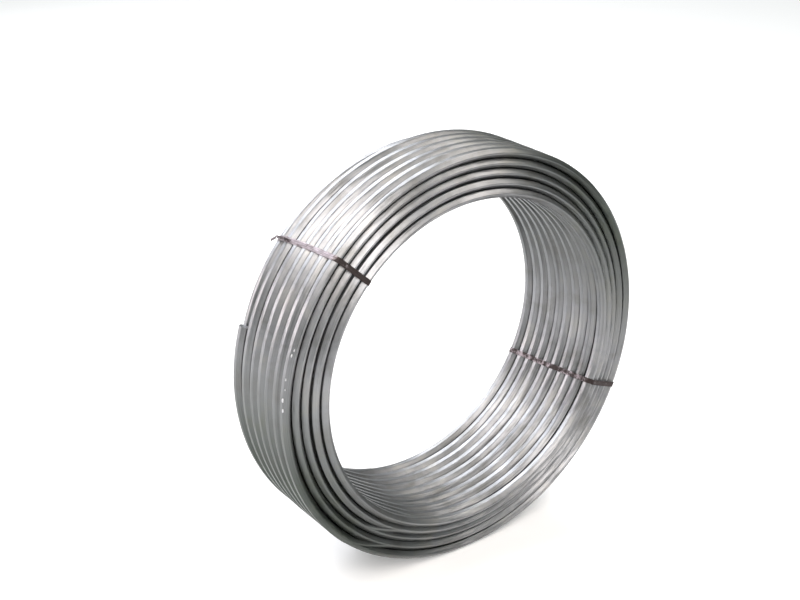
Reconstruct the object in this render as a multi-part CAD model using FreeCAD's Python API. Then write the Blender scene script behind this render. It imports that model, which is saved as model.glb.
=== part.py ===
import FreeCAD, Part

import math
import os

# Coil of zinc ribbon anode, wound in layers round an open bore and held by two steel
# strap ties.  All sizes are in millimetres.
#
# The coil is drawn on its own axis Z with its front end at the top.  It is then stood on
# its rim: axis level along Y, front end towards -Y, floor at Z = 0.

# Ribbon section: a blunt diamond, wider along the coil's axis than it is thick
RIBBON_WIDTH = 22.22
RIBBON_THICKNESS = 15.88
CROWN_FLAT = 8.4          # flat on the bore side and on the outer side
SIDE_FLAT = 2.4           # flat on the two side edges

# Winding, layer by layer from the bore outwards
BORE_RADIUS = 300.0
LAYER_TURNS = [10, 9, 9, 8, 7]
TURN_GAPS = [0.7, 0.8, 0.8, 1.2, 2.7]          # between neighbouring turns of each layer
LAYER_SETBACKS = [0.0, 4.0, 9.0, 10.0, 10.0]   # of each layer's front end
LAYER_GAPS = [0.3, 0.4, 1.4, 2.3]              # outside each layer but the last

# Free end: the last turn of the outer layer, at the rear, stops at a square cut
TAIL_ANGLE = 163.5        # where the cut is, from +X towards +Z
TAIL_ARC = 80.0           # how far the last turn runs before it joins the layer

# Strap ties round the coil's section
TIE_ANGLES = {"strap_tie_upper": 140.0, "strap_tie_side": -24.0}
TIE_WIDTH = 9.5
TIE_THICKNESS = 0.9
TIE_CLEARANCE = 0.3
TAB_LENGTH = 24.0         # the strap's two ends, folded up together at the rear
TAB_WIDTH = 7.0
TAB_THICKNESS = 2.0

AXIS = FreeCAD.Vector(0, 0, 1)
CENTRE = FreeCAD.Vector(0, 0, 0)

LAYERS = len(LAYER_TURNS)
OUTER_LAYER = LAYERS - 1
OUTER_RADIUS = BORE_RADIUS + LAYERS * RIBBON_THICKNESS + sum(LAYER_GAPS)


def turn_pitch(layer):
    return RIBBON_WIDTH + TURN_GAPS[layer]


def layer_depth(layer):
    """From the front plane of the coil to the rear edge of a layer."""
    return LAYER_SETBACKS[layer] + LAYER_TURNS[layer] * turn_pitch(layer) - TURN_GAPS[layer]


COIL_DEPTH = max(layer_depth(layer) for layer in range(LAYERS))


def layer_radius(layer):
    """Radius of the ribbon's centre line in a layer."""
    inside = BORE_RADIUS + layer * RIBBON_THICKNESS + sum(LAYER_GAPS[:layer])
    return inside + RIBBON_THICKNESS / 2


def turn_height(layer, turn):
    """Height of a turn's centre line; turn 0 is the front one."""
    front = COIL_DEPTH - LAYER_SETBACKS[layer]
    return front - RIBBON_WIDTH / 2 - turn * turn_pitch(layer)


def face_in_plane(points):
    """Flat face in the XZ plane with straight sides between the points."""
    corners = [FreeCAD.Vector(x, 0, z) for x, z in points]
    return Part.Face(Part.makePolygon(corners + corners[:1]))


def box_face(x0, z0, x1, z1):
    return face_in_plane([(x0, z0), (x1, z0), (x1, z1), (x0, z1)])


def section_points(layer, turn):
    """The ribbon's eight corners at one turn, as radius and height."""
    crown, width = CROWN_FLAT / 2, RIBBON_WIDTH / 2
    side, thickness = SIDE_FLAT / 2, RIBBON_THICKNESS / 2
    offsets = [(-thickness, -crown), (-side, -width), (side, -width), (thickness, -crown),
               (thickness, crown), (side, width), (-side, width), (-thickness, crown)]
    radius, height = layer_radius(layer), turn_height(layer, turn)
    return [(radius + x, height + z) for x, z in offsets]


def closed_gap(layer, first, last):
    """Strip that closes the gaps between the side edges of neighbouring turns."""
    radius = layer_radius(layer)
    return box_face(radius - SIDE_FLAT / 4, turn_height(layer, last),
                    radius + SIDE_FLAT / 4, turn_height(layer, first))


def full_turns(layer):
    """Turns of a layer that go all the way round."""
    return LAYER_TURNS[layer] - (1 if layer == OUTER_LAYER else 0)


def make_coil():
    """The winding as one turned solid, with every turn's own section on its surface."""
    faces = []
    for layer in range(LAYERS):
        last = full_turns(layer) - 1
        faces += [face_in_plane(section_points(layer, turn)) for turn in range(last + 1)]
        faces.append(closed_gap(layer, 0, last))
        if layer:
            inner = layer - 1
            top = min(turn_height(layer, 0), turn_height(inner, 0))
            bottom = max(turn_height(layer, last), turn_height(inner, full_turns(inner) - 1))
            faces.append(box_face(layer_radius(inner), bottom, layer_radius(layer), top))
    profile = faces[0].multiFuse(faces[1:]).removeSplitter().Faces[0]
    winding = profile.revolve(CENTRE, AXIS, 360)

    tail_turn = full_turns(OUTER_LAYER)
    tail_profile = face_in_plane(section_points(OUTER_LAYER, tail_turn))
    tail_profile = tail_profile.fuse(closed_gap(OUTER_LAYER, tail_turn - 1, tail_turn))
    tail_profile = tail_profile.removeSplitter().Faces[0]
    tail_profile.rotate(CENTRE, AXIS, TAIL_ANGLE)
    tail = tail_profile.revolve(CENTRE, AXIS, TAIL_ARC)
    return winding.fuse(tail).removeSplitter().Solids[0]


def turns_at(layer, angle):
    """Turns of a layer that pass an angle round the coil."""
    past_cut = (angle - TAIL_ANGLE) % 360
    return LAYER_TURNS[layer] if past_cut < TAIL_ARC else full_turns(layer)


def hull(points):
    """Convex outline round a set of points, anticlockwise."""
    def chain(ordered):
        kept = []
        for x, z in ordered:
            while len(kept) > 1:
                (ax, az), (bx, bz) = kept[-2:]
                if (bx - ax) * (z - az) - (bz - az) * (x - ax) > 1e-6:
                    break
                kept.pop()
            kept.append((x, z))
        return kept[:-1]

    ordered = sorted(set(points))
    return chain(ordered) + chain(ordered[::-1])


def make_tie(angle):
    """Strap pulled tight round the coil's section, its ends folded up at the rear corner."""
    points = []
    for layer in range(LAYERS):
        for turn in (0, turns_at(layer, angle) - 1):
            points += section_points(layer, turn)
    outline = [FreeCAD.Vector(x, 0, z) for x, z in hull(points)]
    wire = Part.makePolygon(outline + outline[:1])
    inside = Part.Face(wire.makeOffset2D(TIE_CLEARANCE))
    outside = Part.Face(wire.makeOffset2D(TIE_CLEARANCE + TIE_THICKNESS))
    band = outside.cut(inside).extrude(FreeCAD.Vector(0, TIE_WIDTH, 0))
    band.translate(FreeCAD.Vector(0, -TIE_WIDTH / 2, 0))

    root = OUTER_RADIUS + TIE_CLEARANCE + TIE_THICKNESS / 2
    height = turn_height(OUTER_LAYER, turns_at(OUTER_LAYER, angle) - 1)
    tab = Part.makeBox(TAB_LENGTH, TAB_THICKNESS, TAB_WIDTH,
                       FreeCAD.Vector(root, -TAB_THICKNESS / 2, height - TAB_WIDTH / 2))
    tie = band.fuse(tab).removeSplitter()
    tie.rotate(CENTRE, AXIS, angle)
    return tie.Solids[0]


def stand_on_rim(shape):
    """Turn the coil's axis level, its front end towards -Y, its rim on the floor."""
    shape.rotate(CENTRE, FreeCAD.Vector(1, 0, 0), 90)
    shape.translate(FreeCAD.Vector(0, COIL_DEPTH / 2, OUTER_RADIUS))
    return shape


os.makedirs("parts", exist_ok=True)
stand_on_rim(make_coil()).exportStep("parts/ribbon_coil.step")
for name, angle in TIE_ANGLES.items():
    stand_on_rim(make_tie(angle)).exportStep("parts/" + name + ".step")
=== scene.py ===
import math

import bmesh
import bpy
from mathutils import Matrix, Vector, noise


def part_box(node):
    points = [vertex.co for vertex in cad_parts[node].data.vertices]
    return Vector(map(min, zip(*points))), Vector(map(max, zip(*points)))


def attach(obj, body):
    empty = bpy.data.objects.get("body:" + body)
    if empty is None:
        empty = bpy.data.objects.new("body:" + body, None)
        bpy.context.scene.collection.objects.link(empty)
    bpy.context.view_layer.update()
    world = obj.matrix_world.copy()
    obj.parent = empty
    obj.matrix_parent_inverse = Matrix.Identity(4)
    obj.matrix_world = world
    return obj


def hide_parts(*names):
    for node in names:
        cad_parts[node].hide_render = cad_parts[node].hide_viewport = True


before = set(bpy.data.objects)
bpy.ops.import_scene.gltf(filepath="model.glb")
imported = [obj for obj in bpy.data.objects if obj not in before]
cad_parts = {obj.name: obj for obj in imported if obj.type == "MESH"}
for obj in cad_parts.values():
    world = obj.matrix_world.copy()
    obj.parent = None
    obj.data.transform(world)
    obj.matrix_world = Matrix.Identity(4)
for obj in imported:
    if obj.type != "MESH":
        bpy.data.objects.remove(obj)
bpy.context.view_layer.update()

MM = 0.001
TAU = 2 * math.pi

# Sizes of the coil in millimetres.  The overall ones come from the coil's part in model.glb;
# the ribbon's own are those that it is rolled to, as in the CAD model.
coil_low, coil_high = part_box("ribbon_coil")
OUTER_RADIUS = (coil_high[2] - coil_low[2]) / 2 / MM
COIL_DEPTH = (coil_high[1] - coil_low[1]) / MM
RIBBON_WIDTH = 22.22
RIBBON_THICKNESS = 15.88
CROWN_FLAT = 8.4
SIDE_FLAT = 2.4
EDGE_ROUNDING = 1.5
FLAT_BULGE = 0.12         # how far the flats' normals lean towards their corners

# Layer by layer, the bore layer first.
LAYER_TURNS = [10, 9, 9, 8, 7]
TURN_GAPS = [0.7, 0.8, 0.8, 1.2, 2.7]           # between neighbouring turns
LAYER_SETBACKS = [0.0, 4.0, 9.0, 10.0, 10.0]    # of the front turn behind the coil's front
LAYER_GAPS = [0.3, 0.4, 1.4, 2.3]               # between a layer and the next one out
OUTER_LAYER = len(LAYER_TURNS) - 1
# The bore layer's end turns stand off a little.  In the outer layer the front turns lie
# closer and the last two stand apart.
BORE_TURN_GAPS = [2.1, 0.3, 0.3, 0.3, 0.3, 0.3, 0.3, 0.4, 2.0]
OUTER_TURN_GAPS = [1.5, 1.6, 1.5, 1.7, 4.9, 5.0]

CROSSING_END = 225.0      # angle where each turn has reached its next place
CROSSING_ARC = 28.0       # how far round the coil the whole crossing lies
CROSSING_PACE = 1.6       # the strand shifts over 1 / 1.6 of that arc, from its start,
CLIMB_DELAY = 0.6         # or up to its end where it climbs to the next layer
INNER_LEAD = 8.0          # how far before that angle the ribbon's inner end lies
TAIL_ANGLE = 163.5        # the ribbon's cut outer end

# Angle of each tie at the coil's front and at its rear: the straps lie a little askew.
TIE_ANGLES = {"upper": (136.6, 139.6), "side": (-22.8, -26.8)}
TIE_SEEDS = {"upper": 5, "side": 4}
TIE_WIDTH = 9.5
TIE_THICKNESS = 0.9
TIE_CLEARANCE = 0.3       # between the strap and the turns that it passes over

BACK = Vector((0, 1, 0))  # direction towards the coil's rear


# ---------------------------------------------------------------- geometry of the coil

def place(radius, depth, angle):
    """Point of the coil in metres: radius and depth from its front in mm, angle in degrees."""
    turned = math.radians(angle)
    return Vector((radius * math.cos(turned),
                   depth - COIL_DEPTH / 2,
                   OUTER_RADIUS + radius * math.sin(turned))) * MM


def outward(angle):
    turned = math.radians(angle)
    return Vector((math.cos(turned), 0, math.sin(turned)))


def layer_radius(layer):
    inside = OUTER_RADIUS - sum(LAYER_GAPS) - len(LAYER_TURNS) * RIBBON_THICKNESS
    return inside + (layer + 0.5) * RIBBON_THICKNESS + sum(LAYER_GAPS[:layer])


def turn_depths(layer):
    """Depth of each turn's centre line behind the coil's front, front turn first."""
    even = [TURN_GAPS[layer]] * (LAYER_TURNS[layer] - 1)
    gaps = {0: BORE_TURN_GAPS, OUTER_LAYER: OUTER_TURN_GAPS}.get(layer, even)
    depths = [LAYER_SETBACKS[layer] + RIBBON_WIDTH / 2]
    for gap in gaps:
        depths.append(depths[-1] + RIBBON_WIDTH + gap)
    return depths


def section_corners():
    """The ribbon's eight corners, as distance outwards and backwards from its centre."""
    crown, width = CROWN_FLAT / 2, RIBBON_WIDTH / 2
    side, thickness = SIDE_FLAT / 2, RIBBON_THICKNESS / 2
    return [Vector(c) for c in (
        (-thickness, -crown), (-side, -width), (side, -width), (thickness, -crown),
        (thickness, crown), (side, width), (-side, width), (-thickness, crown))]


def rounded_outline(corners, rounding, bulge):
    """Two points a corner, each with the normal of the flat that it ends."""
    points, normals = [], []
    for i, corner in enumerate(corners):
        before = (corners[i - 1] - corner).normalized()
        after = (corners[(i + 1) % len(corners)] - corner).normalized()
        setback = rounding / math.tan(before.angle(after) / 2)
        points += [corner + before * setback, corner + after * setback]
        for point, edge in ((points[-2], before), (points[-1], after)):
            normal = Vector((edge.y, -edge.x))
            normal = normal if normal.dot(point) > 0 else -normal
            normals.append(normal.lerp(corner.normalized(), bulge).normalized())
    return points, normals


def smooth(x):
    x = min(max(x, 0.0), 1.0)
    return x * x * (3 - 2 * x)


def drift(seed, position, spread):
    """Slow random wander along a piece, the same on each run."""
    return noise.noise(Vector((position, seed * 7.31, 0.5))) * spread


# ---------------------------------------------------------------- mesh of a swept piece

def swept_piece(name, stations, outline, normals, closed=False):
    """Mesh swept through stations of (origin, across, along-width) vectors in metres.

    Its UV map holds real metres: along the piece and round its outline."""
    count, size = len(outline), len(stations)
    rims = [(outline[(i + 1) % count] - outline[i]).length * MM for i in range(count)]
    around = [sum(rims[:i]) for i in range(count + 1)]
    verts, vert_normals, lengths, run = [], [], [], 0.0
    for s, (origin, across, width) in enumerate(stations):
        if s:
            run += (origin - stations[s - 1][0]).length
        lengths.append(run)
        verts += [origin + (across * p.x + width * p.y) * MM for p in outline]
        vert_normals += [(across * n.x + width * n.y).normalized() for n in normals]
    faces, uvs, corner_normals = [], [], []
    last = size if closed else size - 1
    for s in range(last):
        near, far = s * count, ((s + 1) % size) * count
        u0 = lengths[s]
        u1 = lengths[s + 1] if s + 1 < size else run + (stations[0][0] - stations[-1][0]).length
        for i in range(count):
            j = (i + 1) % count
            face = (near + i, far + i, far + j, near + j)
            faces.append(face)
            corner_normals += [vert_normals[v] for v in face]
            uvs += [(u0, around[i]), (u1, around[i]), (u1, around[i + 1]), (u0, around[i + 1])]
    if not closed:
        start = stations[0][0] - stations[1][0]
        end = stations[-1][0] - stations[-2][0]
        for ring, normal in ((list(range(count)), start.normalized()),
                             ([size * count - 1 - i for i in range(count)], end.normalized())):
            faces.append(tuple(ring))
            corner_normals += [normal] * count
            uvs += [(0, 0)] * count
    mesh = bpy.data.meshes.new(name)
    mesh.from_pydata(verts, [], faces)
    layer = mesh.uv_layers.new(name="run")
    layer.data.foreach_set("uv", [c for uv in uvs for c in uv])
    mesh.polygons.foreach_set("use_smooth", [True] * len(mesh.polygons))
    mesh.normals_split_custom_set([tuple(n) for n in corner_normals])
    piece = bpy.data.objects.new(name, mesh)
    bpy.context.collection.objects.link(piece)
    return piece


# ---------------------------------------------------------------- the ribbon

SHOWN_STEPS = 180         # stations a turn where the turn shows
HIDDEN_STEPS = 60         # where other turns cover it all round
WANDER_SIDEWAYS = 0.35    # mm, each way
WANDER_INWARDS = 0.45     # mm, never outwards, so that the coil keeps its size
WANDER_ROLL = 2.2         # degrees, each way
SIDEWAYS_WAVES = 4        # rate of each wander, in waves a turn
INWARD_WAVES = 5
ROLL_WAVES = 3
LAYER_OFFSET = 40         # turns from one layer's place in the wander to the next one's

ARC_STEPS = 16            # steps of a level arc
ARC_OVERLAP = 3.0         # degrees that it runs on past each end of the crossing
ARC_SINK = 0.6            # mm that it lies inside the strand


def shows(layer, place_in_layer):
    """Whether a turn lies on the coil's bore, outside or one of its ends."""
    edge = min(place_in_layer, LAYER_TURNS[layer] - 1 - place_in_layer)
    return layer in (0, OUTER_LAYER) or edge < 2


def ribbon_stations():
    """The ribbon's path from its inner end to its cut outer end, turn by turn."""
    stations = []
    for layer in range(len(LAYER_TURNS)):
        depths = turn_depths(layer)
        order = list(range(len(depths)))
        if layer % 2:
            order.reverse()
        radius = layer_radius(layer)
        for lap, index in enumerate(order):
            steps = SHOWN_STEPS if shows(layer, index) else HIDDEN_STEPS
            last_lap = lap == len(order) - 1
            final = last_lap and layer == OUTER_LAYER
            arc = (CROSSING_END - TAIL_ANGLE) if final else 360.0
            steps = max(2, round(steps * arc / 360))
            next_depth = depths[index] if last_lap else depths[order[lap + 1]]
            next_radius = radius
            if last_lap and not final:
                following = turn_depths(layer + 1)
                next_depth = following[-1] if (layer + 1) % 2 else following[0]
                next_radius = layer_radius(layer + 1)
            lead = round(INNER_LEAD / 360 * steps) if not stations else 0
            for step in range(-lead, steps + (1 if final else 0)):
                past = arc * step / steps
                crossing = (past - 360 + CROSSING_ARC) / CROSSING_ARC
                if last_lap:
                    shift = smooth(crossing * CROSSING_PACE - CLIMB_DELAY)
                else:
                    shift = smooth(crossing * CROSSING_PACE)
                turns = layer * LAYER_OFFSET + lap + past / 360
                angle = CROSSING_END - past
                here = radius + (next_radius - radius) * shift
                here -= abs(drift(1, turns * INWARD_WAVES, WANDER_INWARDS * 2))
                depth = depths[index] + (next_depth - depths[index]) * shift
                if 0 < index < len(depths) - 1:
                    depth += drift(2, turns * SIDEWAYS_WAVES, WANDER_SIDEWAYS * 2)
                roll = math.radians(drift(3, turns * ROLL_WAVES, WANDER_ROLL * 2))
                out = outward(angle)
                across = out * math.cos(roll) + BACK * math.sin(roll)
                width = BACK * math.cos(roll) - out * math.sin(roll)
                stations.append((place(here, depth, angle), across, width))
    return stations


def end_turn_arcs():
    """Level arcs that close each layer's end turns where the strand moves on."""
    arcs = []
    for layer in range(len(LAYER_TURNS)):
        depths = turn_depths(layer)
        ends = depths[:1] if layer == OUTER_LAYER else (depths[0], depths[-1])
        for depth in ends:
            stations = []
            for step in range(ARC_STEPS + 1):
                past = step / ARC_STEPS * (CROSSING_ARC + 2 * ARC_OVERLAP)
                angle = CROSSING_END + CROSSING_ARC + ARC_OVERLAP - past
                origin = place(layer_radius(layer) - ARC_SINK, depth, angle)
                stations.append((origin, outward(angle), BACK))
            arcs.append(stations)
    return arcs


def make_ribbon():
    outline, normals = rounded_outline(section_corners(), EDGE_ROUNDING, FLAT_BULGE)
    pieces = [swept_piece("zinc_ribbon", ribbon_stations(), outline, normals)]
    for number, stations in enumerate(end_turn_arcs()):
        pieces.append(swept_piece("end_turn_arc_%d" % number, stations, outline, normals))
    return pieces


# Each bead's angle, its place outwards and backwards from the turn's middle, and its radius.
BEADS = ((174.0, 7.7, -4.4, 2.6), (176.7, 7.2, -5.0, 2.2), (171.2, 6.2, -6.0, 1.3),
         (168.6, 6.8, -5.4, 1.5), (162.4, 5.6, -6.6, 1.9), (161.0, 4.2, -8.0, 1.5))
BEAD_STRETCH = (0.6, 0.8, 1.6, 1)   # low on the ribbon and drawn out along it


def make_spatter():
    """Small beads of zinc thrown on to the front turn of the outer layer."""
    beads = bmesh.new()
    for angle, out, back, size in BEADS:
        depth = turn_depths(OUTER_LAYER)[0] + back
        here = place(layer_radius(OUTER_LAYER) + out, depth, angle)
        turned = Matrix.Rotation(-math.radians(angle), 4, "Y")
        bmesh.ops.create_icosphere(beads, subdivisions=2, radius=size * MM,
                                   matrix=Matrix.Translation(here) @ turned
                                   @ Matrix.Diagonal(BEAD_STRETCH))
    mesh = bpy.data.meshes.new("zinc_spatter")
    beads.to_mesh(mesh)
    beads.free()
    mesh.polygons.foreach_set("use_smooth", [True] * len(mesh.polygons))
    mesh.uv_layers.new(name="run")
    piece = bpy.data.objects.new("zinc_spatter", mesh)
    bpy.context.collection.objects.link(piece)
    return [piece]


# ---------------------------------------------------------------- the strap ties

STRAP_SPACING = 4.0       # mm between stations along a straight part of the strap
STRAP_BEND = 8            # degrees that it turns between stations at a corner
STRAP_SWAY = 2.0          # mm round the coil
STRAP_ROLL = 7            # degrees
STRAP_DENT = 0.5          # mm
SWAY_RATE = 0.05          # waves a station
ROLL_RATE = 0.12
DENT_RATE = 0.31

END_WIDTH = 4.6           # of a strap's end, creased narrow by the twist
END_THICKNESS = 0.9
END_STEPS = 60
END_START = -16           # mm behind the root: it starts in front of it
END_LENGTH = 26
END_LEAN = 7              # mm round the coil at the tip
END_ROOT_LIFT = 1.6       # mm outwards at the start
END_RISE = 9              # and how much more it rises
RISE_PACE = 1.3           # it has risen after 1 / 1.3 of its length
TWIST_TURNS = 2.2
TWIST_RADIUS = 1.3
TWISTED_SHARE = 0.75      # of the length, wound together
PARTING = 0.72            # share of the length where the two ends part
PARTING_SPREAD = 22       # mm each way per whole length beyond that


def hull(points):
    """Convex outline round a set of points."""
    def chain(ordered):
        kept = []
        for p in ordered:
            while len(kept) > 1:
                a, b = kept[-2:]
                turn = (b[0] - a[0]) * (p[1] - a[1]) - (b[1] - a[1]) * (p[0] - a[0])
                if turn > 1e-6:     # more than rounding error
                    break
                kept.pop()
            kept.append(p)
        return kept[:-1]

    ordered = sorted(set(points))
    return chain(ordered) + chain(ordered[::-1])


def tie_loop():
    """Corners of the strap's tight path round the coil's section, as radius and depth."""
    corners = []
    for layer in range(len(LAYER_TURNS)):
        depths = turn_depths(layer)
        if layer == OUTER_LAYER:
            depths = depths[:-1]
        for depth in (depths[0], depths[-1]):
            corners += [(layer_radius(layer) + c.x, depth + c.y) for c in section_corners()]
    return [Vector(p) for p in hull(corners)]


def offset_loop(corners, offset, spacing):
    """Points round a convex loop, a set distance outside it, and their outward normals."""
    points = []
    count = len(corners)
    for i, corner in enumerate(corners):
        before, after = corners[i - 1], corners[(i + 1) % count]
        into, out_of = (corner - before).normalized(), (after - corner).normalized()
        first, second = Vector((into.y, -into.x)), Vector((out_of.y, -out_of.x))
        bend = max(2, round(first.angle(second) / math.radians(STRAP_BEND)))
        for k in range(bend + 1):
            normal = first.lerp(second, k / bend).normalized()
            points.append((corner + normal * offset, normal))
        parts = max(1, round((after - corner).length / spacing))
        for k in range(1, parts):
            points.append((corner.lerp(after, k / parts) + second * offset, second))
    return points


def strap_outline(width, thickness):
    half, edge = width / 2, thickness / 2
    corners = [Vector(c) for c in ((-edge, -half), (edge, -half), (edge, half), (-edge, half))]
    return rounded_outline(corners, thickness * 0.35, 0.1)


def tie_angle(key, depth):
    front, rear = TIE_ANGLES[key]
    return front + (rear - front) * depth / COIL_DEPTH


def make_strap(name, key):
    """Flat strap pulled round the coil, dented a little where it spans from turn to turn."""
    offset = TIE_CLEARANCE + TIE_THICKNESS / 2
    loop = offset_loop(tie_loop(), offset, STRAP_SPACING)
    seed = TIE_SEEDS[key]
    stations = []
    for i, (point, normal) in enumerate(loop):
        sway = drift(seed, i * SWAY_RATE, STRAP_SWAY)
        angle = tie_angle(key, point.y) + math.degrees(sway / point.x)
        roll = math.radians(drift(seed + 2, i * ROLL_RATE, STRAP_ROLL))
        dent = abs(drift(seed + 1, i * DENT_RATE, STRAP_DENT))
        dip = dent + abs(math.sin(roll)) * TIE_WIDTH / 2
        out = outward(angle)
        across = (out * normal.x + BACK * normal.y).normalized()
        along = Vector((-out.z, 0, out.x))
        tilted = across * math.cos(roll) + along * math.sin(roll)
        width = along * math.cos(roll) - across * math.sin(roll)
        origin = place(point.x, point.y, angle) - across * dip * MM
        stations.append((origin, tilted, width))
    outline, normals = strap_outline(TIE_WIDTH, TIE_THICKNESS)
    return swept_piece(name, stations, outline, normals, closed=True)


def make_twist(name, key):
    """The strap's two ends, twisted together at the rear corner and bent over."""
    depth = turn_depths(OUTER_LAYER)[-2] + RIBBON_WIDTH * 0.45
    angle = tie_angle(key, depth)
    root = place(OUTER_RADIUS + 0.8, depth, angle)
    out = outward(angle)
    along = Vector((-out.z, 0, out.x))
    outline, normals = strap_outline(END_WIDTH, END_THICKNESS)
    ends = []
    for side in (0, 1):
        stations = []
        for k in range(END_STEPS + 1):
            t = k / END_STEPS
            lift = END_ROOT_LIFT + END_RISE * math.sin(min(t * RISE_PACE, 1) * math.pi / 2)
            spread = max(0.0, t - PARTING) * PARTING_SPREAD * (1 if side else -1)
            wind = TAU * TWIST_TURNS * min(t, TWISTED_SHARE) + math.pi * side
            line = (BACK * (END_START + END_LENGTH * t) + out * lift
                    + along * (END_LEAN * t + spread))
            swing = out * math.cos(wind) + along * math.sin(wind)
            flat = -out * math.sin(wind) + along * math.cos(wind)
            stations.append((root + (line + swing * TWIST_RADIUS) * MM, swing, flat))
        ends.append(swept_piece(name + ("_b" if side else "_a"), stations, outline, normals))
    return ends


def make_tie(key):
    return [make_strap("strap_" + key, key)] + make_twist("strap_end_" + key, key)


# ---------------------------------------------------------------- materials

def linear(hex_colour):
    """sRGB hex to linear RGBA."""
    values = [int(hex_colour[i:i + 2], 16) / 255 for i in (1, 3, 5)]
    return [v / 12.92 if v <= 0.04045 else ((v + 0.055) / 1.055) ** 2.4 for v in values] + [1]


def add(tree, kind, settings=None, links=None, stops=(), **values):
    """Node with its settings, and a colour ramp's stops.  Values go to its named inputs;
    links to any input, each another node's socket or a value for a numbered input."""
    node = tree.nodes.new(kind)
    for key, value in (settings or {}).items():
        setattr(node, key, value)
    for key, value in values.items():
        node.inputs[key.replace("_", " ")].default_value = value
    for key, source in (links or {}).items():
        if isinstance(source, bpy.types.NodeSocket):
            tree.links.new(source, node.inputs[key])
        else:
            node.inputs[key].default_value = source
    for number, (position, colour) in enumerate(stops):
        elements = node.color_ramp.elements
        if number == len(elements):
            elements.new(position)
        elements[number].position = position
        elements[number].color = colour
    return node


def new_material(name):
    material = bpy.data.materials.new(name)
    material.use_nodes = True
    tree = material.node_tree
    tree.nodes.clear()
    shader = add(tree, "ShaderNodeBsdfPrincipled")
    output = add(tree, "ShaderNodeOutputMaterial", links={"Surface": shader.outputs[0]})
    output.is_active_output = True
    return material, tree, shader


def grey(value):
    return (value, value, value, 1)


def rolled_zinc():
    """Zinc ribbon, cast and rolled: long faint draw lines with dull and bright patches
    of thin oxide, so its flats shine in soft bands."""
    material, tree, shader = new_material("rolled_zinc")
    run = add(tree, "ShaderNodeUVMap", {"uv_map": "run"}).outputs[0]
    place_in_coil = add(tree, "ShaderNodeTexCoord").outputs["Object"]
    # draw lines about 2 mm apart and half a metre long, coarser than the real ones to show
    lines = add(tree, "ShaderNodeMapping", links={"Vector": run}, Scale=(2.0, 520, 1))
    drawn = add(tree, "ShaderNodeTexNoise", links={"Vector": lines.outputs[0]},
                Scale=1.0, Detail=3.0, Roughness=0.6).outputs["Fac"]
    # oxide clouds 60 mm across
    clouds = add(tree, "ShaderNodeTexNoise", links={"Vector": place_in_coil},
                 Scale=16.0, Detail=5.0, Roughness=0.6, Distortion=0.4).outputs["Fac"]
    # handling marks 3 mm across
    marks = add(tree, "ShaderNodeTexNoise", links={"Vector": place_in_coil},
                Scale=300.0, Detail=2.0, Roughness=0.7).outputs["Fac"]
    base = add(tree, "ShaderNodeValToRGB", links={0: clouds},
               stops=[(0.34, linear("#828282")), (0.52, linear("#949598")),
                      (0.70, linear("#a4a3a2"))]).outputs[0]
    # turns differ a little: the film's thickness changes over 1.5 m of ribbon
    slow = add(tree, "ShaderNodeMapping", links={"Vector": run}, Scale=(0.7, 60, 1))
    changes = add(tree, "ShaderNodeTexNoise", links={"Vector": slow.outputs[0]},
                  Scale=1.0, Detail=2.0, Roughness=0.5).outputs["Fac"]
    mixed_lines = add(tree, "ShaderNodeMath", {"operation": "MULTIPLY_ADD"},
                      links={0: changes, 1: 0.9, 2: drawn})
    streak = add(tree, "ShaderNodeValToRGB", links={0: mixed_lines.outputs[0]},
                 stops=[(0.66, grey(0.62)), (0.92, grey(0.98)),
                        (1.0, grey(1.0))]).outputs[0]
    tinted = add(tree, "ShaderNodeMix", {"data_type": "RGBA", "blend_type": "MULTIPLY"},
                 links={0: 1.0, 6: base, 7: streak})
    # painted shade: the colour darkens, cloudy at its edge, on two opposite sides of the coil,
    # lower left and upper right, standing in for the dark surroundings that the metal reflects
    # there
    from_middle = add(tree, "ShaderNodeVectorMath", {"operation": "SUBTRACT"},
                      links={0: place_in_coil, 1: (0, 0, OUTER_RADIUS * MM)})
    sideways = add(tree, "ShaderNodeVectorMath", {"operation": "DOT_PRODUCT"},
                   links={0: from_middle.outputs[0], 1: (0.8, 0.0, 0.6)})
    either_side = add(tree, "ShaderNodeMath", {"operation": "ABSOLUTE"},
                      links={0: sideways.outputs["Value"]})
    uneven = add(tree, "ShaderNodeMath", {"operation": "MULTIPLY_ADD"},
                 links={0: clouds, 1: 0.12, 2: either_side.outputs[0]})
    painted_shade_mask = add(tree, "ShaderNodeValToRGB", links={0: uneven.outputs[0]},
               stops=[(0.28, grey(0)), (0.43, grey(1))]).outputs[0]
    with_painted_shade = add(tree, "ShaderNodeMix", {"data_type": "RGBA", "blend_type": "MULTIPLY"},
                 links={0: painted_shade_mask, 6: tinted.outputs[2], 7: linear("#8a9188")})
    tree.links.new(with_painted_shade.outputs[2], shader.inputs["Base Color"])
    shader.inputs["Metallic"].default_value = 1.0
    rough = add(tree, "ShaderNodeMapRange", links={"Value": drawn},
                From_Min=0.3, From_Max=0.7, To_Min=0.3, To_Max=0.48)
    tree.links.new(rough.outputs[0], shader.inputs["Roughness"])
    height = add(tree, "ShaderNodeMath", {"operation": "MULTIPLY_ADD"},
                 links={0: marks, 1: 0.35, 2: drawn})
    # waves 70 mm long left from coiling, which break the shine into patches
    waves = add(tree, "ShaderNodeMapping", links={"Vector": run}, Scale=(14, 90, 1))
    waviness = add(tree, "ShaderNodeTexNoise", links={"Vector": waves.outputs[0]},
                   Scale=1.0, Detail=2.0, Roughness=0.5).outputs["Fac"]
    waved = add(tree, "ShaderNodeBump", links={"Height": waviness},
                Strength=1.0, Distance=0.0016)
    bump = add(tree, "ShaderNodeBump", links={"Height": height.outputs[0],
                                              "Normal": waved.outputs[0]},
               Strength=0.45, Distance=0.0002)
    tree.links.new(bump.outputs[0], shader.inputs["Normal"])
    return material


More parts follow.
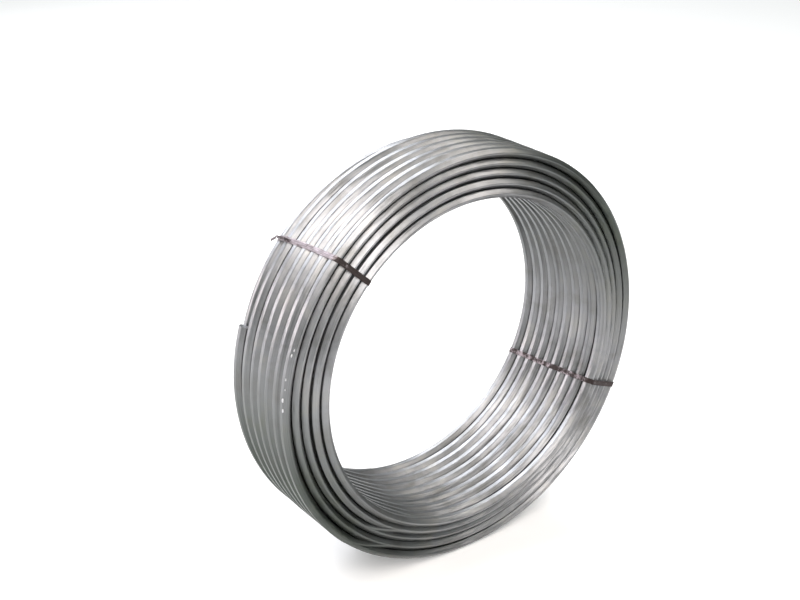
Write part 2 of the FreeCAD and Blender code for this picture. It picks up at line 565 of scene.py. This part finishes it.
def splashed_zinc():
    """Zinc that froze in beads after it splashed: cleaner and brighter than the rolled."""
    material, tree, shader = new_material("splashed_zinc")
    place_in_coil = add(tree, "ShaderNodeTexCoord").outputs["Object"]
    grain = add(tree, "ShaderNodeTexNoise", links={"Vector": place_in_coil},
                Scale=700.0, Detail=2.0, Roughness=0.6).outputs["Fac"]
    base = add(tree, "ShaderNodeValToRGB", links={0: grain},
               stops=[(0.35, linear("#c4c4c6")), (0.65, linear("#e6e6e8"))]).outputs[0]
    tree.links.new(base, shader.inputs["Base Color"])
    shader.inputs["Metallic"].default_value = 0.8
    shader.inputs["Roughness"].default_value = 0.45
    return material


def dull_steel(name, rust):
    """Packing strap, cold rolled steel left bare: grey and half dull, with rust in spots,
    and nearly black over its last 10 mm towards the coil's front end."""
    material, tree, shader = new_material(name)
    run = add(tree, "ShaderNodeUVMap", {"uv_map": "run"}).outputs[0]
    stretched = add(tree, "ShaderNodeMapping", links={"Vector": run}, Scale=(60, 700, 1))
    scratches = add(tree, "ShaderNodeTexNoise", links={"Vector": stretched.outputs[0]},
                    Scale=1.0, Detail=4.0, Roughness=0.65).outputs["Fac"]
    place_in_coil = add(tree, "ShaderNodeTexCoord").outputs["Object"]
    spots = add(tree, "ShaderNodeTexNoise", links={"Vector": place_in_coil},
                Scale=90.0, Detail=4.0, Roughness=0.7).outputs["Fac"]
    steel = add(tree, "ShaderNodeValToRGB", links={0: scratches},
                stops=[(0.3, linear("#5d5658")), (0.55, linear("#948b8f")),
                       (0.75, linear("#b9b0b3"))]).outputs[0]
    # the strap darkens over its last 10 mm towards the coil's front end
    depth = add(tree, "ShaderNodeSeparateXYZ", links={0: place_in_coil}).outputs["Y"]
    front = add(tree, "ShaderNodeMapRange", links={"Value": depth}, From_Min=-0.096,
                From_Max=-0.106, To_Min=rust, To_Max=0.3).outputs[0]
    rust_spots_and_dark_front = add(tree, "ShaderNodeMath", {"operation": "ADD"}, links={0: spots, 1: front})
    mask = add(tree, "ShaderNodeValToRGB", links={0: rust_spots_and_dark_front.outputs[0]},
               stops=[(0.56, grey(0)), (0.68, grey(0.9))]).outputs[0]
    mixed = add(tree, "ShaderNodeMix", {"data_type": "RGBA"},
                links={0: mask, 6: steel, 7: linear("#2c2320")})
    tree.links.new(mixed.outputs[2], shader.inputs["Base Color"])
    shader.inputs["Metallic"].default_value = 0.85
    rough = add(tree, "ShaderNodeMapRange", links={"Value": spots},
                From_Min=0.3, From_Max=0.7, To_Min=0.4, To_Max=0.7)
    tree.links.new(rough.outputs[0], shader.inputs["Roughness"])
    bump = add(tree, "ShaderNodeBump", links={"Height": scratches}, Strength=0.4,
               Distance=0.0002)
    tree.links.new(bump.outputs[0], shader.inputs["Normal"])
    return material


def pale_floor():
    """Smooth white studio floor, matt, so that it holds a soft shadow and no mirror image;
    where it is seen it glows a little, which keeps it white up to its far edge."""
    material, tree, shader = new_material("pale_floor")
    shader.inputs["Base Color"].default_value = linear("#f4f4f4")
    shader.inputs["Roughness"].default_value = 0.9
    shader.inputs["Specular IOR Level"].default_value = 0.0
    shader.inputs["Emission Color"].default_value = (1, 1, 1, 1)
    rays = add(tree, "ShaderNodeLightPath").outputs
    seen = rays["Is Camera Ray"]
    for kind in ("Is Glossy Ray", "Is Transmission Ray"):
        seen = add(tree, "ShaderNodeMath", {"operation": "MAXIMUM"},
                   links={0: seen, 1: rays[kind]}).outputs[0]
    glow = add(tree, "ShaderNodeMath", {"operation": "MULTIPLY"}, links={0: seen, 1: 0.2})
    tree.links.new(glow.outputs[0], shader.inputs["Emission Strength"])
    return material


# ---------------------------------------------------------------- room, lamps and camera

def make_floor():
    half = 40.0
    mesh = bpy.data.meshes.new("floor")
    mesh.from_pydata([(-half, -half, 0), (half, -half, 0), (half, half, 0), (-half, half, 0)],
                     [], [(0, 1, 2, 3)])
    floor = bpy.data.objects.new("floor", mesh)
    bpy.context.collection.objects.link(floor)
    mesh.materials.append(pale_floor())


def soft_lamp(name, position, target, width, height, watts, colour):
    """Rectangular lamp, its place and size in metres."""
    data = bpy.data.lights.new(name, "AREA")
    data.shape = "RECTANGLE"
    data.size, data.size_y = width, height
    data.energy = watts
    data.color = colour
    lamp = bpy.data.objects.new(name, data)
    lamp.location = position
    lamp.rotation_euler = (Vector(target) - Vector(position)).to_track_quat("-Z", "Y").to_euler()
    bpy.context.collection.objects.link(lamp)


def make_lights():
    centre = (0, 0, OUTER_RADIUS * MM)
    soft_lamp("sky_behind", (-0.6, 3.2, 2.9), centre, 4.6, 2.0, 170, (0.94, 0.95, 1.0))
    soft_lamp("front_left", (-1.5, -2.5, 3.1), centre, 3.2, 2.2, 122, (1.0, 0.94, 0.90))
    soft_lamp("low_left", (-2.9, 2.5, 1.1), centre, 1.6, 1.0, 34, (1.0, 0.90, 0.90))
    soft_lamp("top_right", (1.7, -1.2, 2.8), centre, 1.6, 1.6, 30, (1.0, 0.93, 0.86))
    sun = bpy.data.lights.new("even_light", "SUN")
    sun.energy = 0.8
    sun.angle = math.radians(40)
    lamp = bpy.data.objects.new("even_light", sun)
    lamp.rotation_euler = Vector((1.2, 1.6, 3.0)).to_track_quat("Z", "Y").to_euler()
    bpy.context.collection.objects.link(lamp)
    world = bpy.data.worlds.new("room")
    world.use_nodes = True
    background = world.node_tree.nodes["Background"]
    background.inputs["Color"].default_value = linear("#dfe6e4")
    background.inputs["Strength"].default_value = 0.42
    bpy.context.scene.world = world


def make_camera():
    """Camera to the left of the front end and above it, looking down at the coil."""
    azimuth, elevation = math.radians(-35.7), math.radians(23.9)
    distance = 6.372 * OUTER_RADIUS * MM
    across, upward = 0.335 * OUTER_RADIUS * MM, 0.287 * OUTER_RADIUS * MM
    crown_edge = (RIBBON_WIDTH - CROWN_FLAT) / 2
    target = place(0, crown_edge, 0)
    back = Vector((math.sin(azimuth) * math.cos(elevation),
                   -math.cos(azimuth) * math.cos(elevation), math.sin(elevation)))
    right = Vector((math.cos(azimuth), math.sin(azimuth), 0))
    above = back.cross(right)
    data = bpy.data.cameras.new("camera")
    data.sensor_width = 36.0
    data.lens = 63.0
    camera = bpy.data.objects.new("camera", data)
    camera.location = target + back * distance - right * across + above * upward
    camera.rotation_euler = back.to_track_quat("Z", "Y").to_euler()
    bpy.context.collection.objects.link(camera)
    bpy.context.scene.camera = camera


# ---------------------------------------------------------------- build

def finish_pieces(pieces, node, material):
    for piece in pieces:
        piece.data.materials.append(material)
        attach(piece, "root")
        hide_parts(node)


finish_pieces(make_ribbon(), "ribbon_coil", rolled_zinc())
finish_pieces(make_spatter(), "ribbon_coil", splashed_zinc())
finish_pieces(make_tie("upper"), "strap_tie_upper",
              dull_steel("bare_steel_strap", 0.0))
finish_pieces(make_tie("side"), "strap_tie_side",
              dull_steel("browned_steel_strap", 0.13))
make_floor()
make_lights()
make_camera()
bpy.context.scene.view_settings.view_transform = "Standard"
